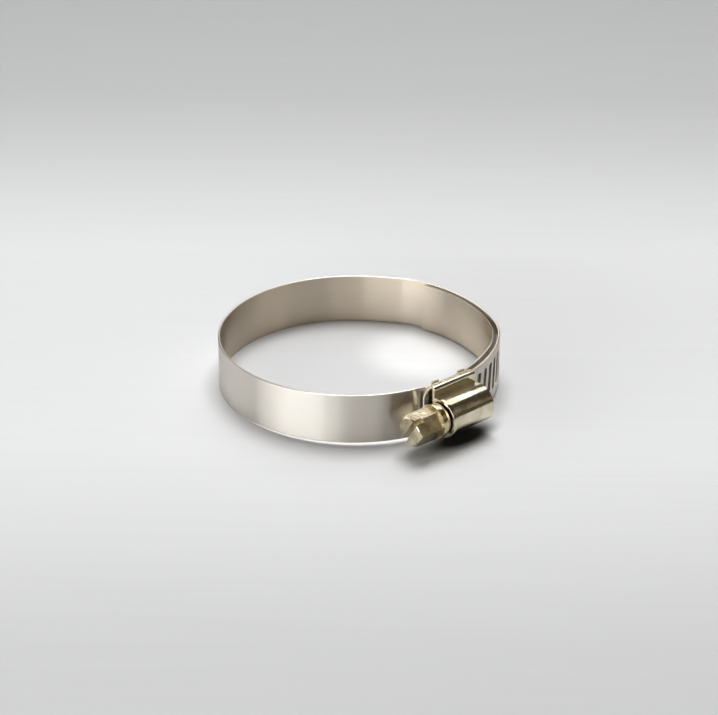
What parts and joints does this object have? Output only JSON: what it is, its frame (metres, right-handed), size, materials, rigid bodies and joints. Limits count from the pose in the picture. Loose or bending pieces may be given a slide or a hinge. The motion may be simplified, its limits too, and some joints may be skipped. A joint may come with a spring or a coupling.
{
  "type": "hose clamp",
  "caption": "Lined worm-drive band clamp: a steel strip ring with a slotted tail drawn through a pressed housing by a slotted hex-head screw, to close round a hose.",
  "frame": {"origin": "centre of the ring, on the axis of the hose and halfway across the strip's width", "axes": "+Z along the ring's axis, housing at -Y, screw parallel to X with its head towards -X"},
  "size_m": [0.0686, 0.0769, 0.0148],
  "materials": {
    "strip": "bright rolled stainless strip, faint lengthways grain",
    "plated_housing": "bright plated pressed steel, slightly yellow",
    "plated_screw": "bright plated cold-headed steel, slightly yellow"
  },
  "bodies": {
    "housing": {"housing_cap": "plated_housing", "saddle": "plated_housing", "band_base": "strip"},
    "screw": {"worm_screw": "plated_screw"},
    "tail": {"band_tail": "strip"},
    "link_01": {"band_link_01": "strip"},
    "link_02": {"band_link_02": "strip"},
    "link_03": {"band_link_03": "strip"},
    "link_04": {"band_link_04": "strip"},
    "link_05": {"band_link_05": "strip"},
    "link_06": {"band_link_06": "strip"},
    "link_07": {"band_link_07": "strip"},
    "link_08": {"band_link_08": "strip"},
    "link_09": {"band_link_09": "strip"},
    "link_10": {"band_link_10": "strip"},
    "link_11": {"band_link_11": "strip"},
    "link_12": {"band_link_12": "strip"},
    "link_13": {"band_link_13": "strip"},
    "link_14": {"band_link_14": "strip"},
    "link_15": {"band_link_15": "strip"},
    "liner_1": {"liner_1": "strip"},
    "liner_2": {"liner_2": "strip"},
    "liner_3": {"liner_3": "strip"},
    "liner_4": {"liner_4": "strip"}
  },
  "joints": [
    {"name": "screw_turn", "type": "hinge", "parent": "housing", "child": "screw", "pos_m": [0, -0.0384, 0], "axis": [1, 0, 0], "range_deg": [-360, 2160]},
    {"name": "tail_feed", "type": "hinge", "parent": "housing", "child": "tail", "pos_m": [0.0007, 0.0022, 0], "axis": [0, 0, 1], "range_deg": [-29.44, 4.92]},
    {"name": "bend_01", "type": "hinge", "parent": "housing", "child": "link_01", "pos_m": [-0.0082, -0.03227, 0], "axis": [0, 0, 1], "range_deg": [-1.97, 0.35]},
    {"name": "bend_02", "type": "hinge", "parent": "link_01", "child": "link_02", "pos_m": [-0.02055, -0.0262, 0], "axis": [0, 0, 1], "range_deg": [-2.13, 0.37]},
    {"name": "bend_03", "type": "hinge", "parent": "link_02", "child": "link_03", "pos_m": [-0.0294, -0.01565, 0], "axis": [0, 0, 1], "range_deg": [-1.89, 0.33]},
    {"name": "bend_04", "type": "hinge", "parent": "link_03", "child": "link_04", "pos_m": [-0.03321, -0.00242, 0], "axis": [0, 0, 1], "range_deg": [-1.88, 0.33]},
    {"name": "bend_05", "type": "hinge", "parent": "link_04", "child": "link_05", "pos_m": [-0.03135, 0.01122, 0], "axis": [0, 0, 1], "range_deg": [-2.05, 0.36]},
    {"name": "bend_06", "type": "hinge", "parent": "link_05", "child": "link_06", "pos_m": [-0.02413, 0.02295, 0], "axis": [0, 0, 1], "range_deg": [-2.29, 0.4]},
    {"name": "bend_07", "type": "hinge", "parent": "link_06", "child": "link_07", "pos_m": [-0.01279, 0.03075, 0], "axis": [0, 0, 1], "range_deg": [-2.46, 0.43]},
    {"name": "bend_08", "type": "hinge", "parent": "link_07", "child": "link_08", "pos_m": [0.00074, 0.03329, 0], "axis": [0, 0, 1], "range_deg": [-2.51, 0.44]},
    {"name": "bend_09", "type": "hinge", "parent": "link_08", "child": "link_09", "pos_m": [0.01415, 0.03015, 0], "axis": [0, 0, 1], "range_deg": [-2.46, 0.43]},
    {"name": "bend_10", "type": "hinge", "parent": "link_09", "child": "link_10", "pos_m": [0.02513, 0.02185, 0], "axis": [0, 0, 1], "range_deg": [-1.88, 0.33]},
    {"name": "bend_11", "type": "hinge", "parent": "link_10", "child": "link_11", "pos_m": [0.03013, 0.01579, 0], "axis": [0, 0, 1], "range_deg": [-1.17, 0.21]},
    {"name": "bend_12", "type": "hinge", "parent": "link_11", "child": "link_12", "pos_m": [0.03274, 0.01088, 0], "axis": [0, 0, 1], "range_deg": [-1.41, 0.25]},
    {"name": "bend_15", "type": "hinge", "parent": "tail", "child": "link_15", "pos_m": [0.0264, -0.02442, 0], "axis": [0, 0, 1], "range_deg": [-0.31, 1.74]},
    {"name": "bend_14", "type": "hinge", "parent": "link_15", "child": "link_14", "pos_m": [0.03068, -0.01853, 0], "axis": [0, 0, 1], "range_deg": [-0.33, 1.87]},
    {"name": "bend_13", "type": "hinge", "parent": "link_14", "child": "link_13", "pos_m": [0.03389, -0.00901, 0], "axis": [0, 0, 1], "range_deg": [-0.35, 1.99]},
    {"name": "liner_bend_1", "type": "hinge", "parent": "housing", "child": "liner_1", "pos_m": [0.0082, -0.03227, 0], "axis": [0, 0, 1], "range_deg": [-1.09, 6.45]},
    {"name": "liner_bend_2", "type": "hinge", "parent": "liner_1", "child": "liner_2", "pos_m": [0.01956, -0.02786, 0], "axis": [0, 0, 1], "range_deg": [-0.57, 3.32]},
    {"name": "liner_bend_3", "type": "hinge", "parent": "liner_2", "child": "liner_3", "pos_m": [0.02834, -0.01937, 0], "axis": [0, 0, 1], "range_deg": [-0.7776, 0.1463]},
    {"name": "liner_bend_4", "type": "hinge", "parent": "liner_3", "child": "liner_4", "pos_m": [0.03307, -0.00547, 0], "axis": [0, 0, 1], "range_deg": [-0.3, 1.7]}
  ],
  "couplings": [
    {"joint": "tail_feed", "follows": "screw_turn", "ratio": -0.01362},
    {"joint": "bend_01", "follows": "screw_turn", "ratio": -0.00090302},
    {"joint": "bend_02", "follows": "screw_turn", "ratio": -0.00097909},
    {"joint": "bend_03", "follows": "screw_turn", "ratio": -0.00086691},
    {"joint": "bend_04", "follows": "screw_turn", "ratio": -0.00086094},
    {"joint": "bend_05", "follows": "screw_turn", "ratio": -0.00094031},
    {"joint": "bend_06", "follows": "screw_turn", "ratio": -0.0010492},
    {"joint": "bend_07", "follows": "screw_turn", "ratio": -0.0011304},
    {"joint": "bend_08", "follows": "screw_turn", "ratio": -0.0011532},
    {"joint": "bend_09", "follows": "screw_turn", "ratio": -0.0011278},
    {"joint": "bend_10", "follows": "screw_turn", "ratio": -0.0008603},
    {"joint": "bend_11", "follows": "screw_turn", "ratio": -0.00053455},
    {"joint": "bend_12", "follows": "screw_turn", "ratio": -0.0006448},
    {"joint": "bend_15", "follows": "screw_turn", "ratio": 0.00079728},
    {"joint": "bend_14", "follows": "screw_turn", "ratio": 0.00085856},
    {"joint": "bend_13", "follows": "screw_turn", "ratio": 0.00091407},
    {"joint": "liner_bend_1", "follows": "screw_turn", "ratio": 0.0029764},
    {"joint": "liner_bend_2", "follows": "screw_turn", "ratio": 0.0015291},
    {"joint": "liner_bend_3", "follows": "screw_turn", "ratio": -0.00035076},
    {"joint": "liner_bend_4", "follows": "screw_turn", "ratio": 0.0007773}
  ]
}
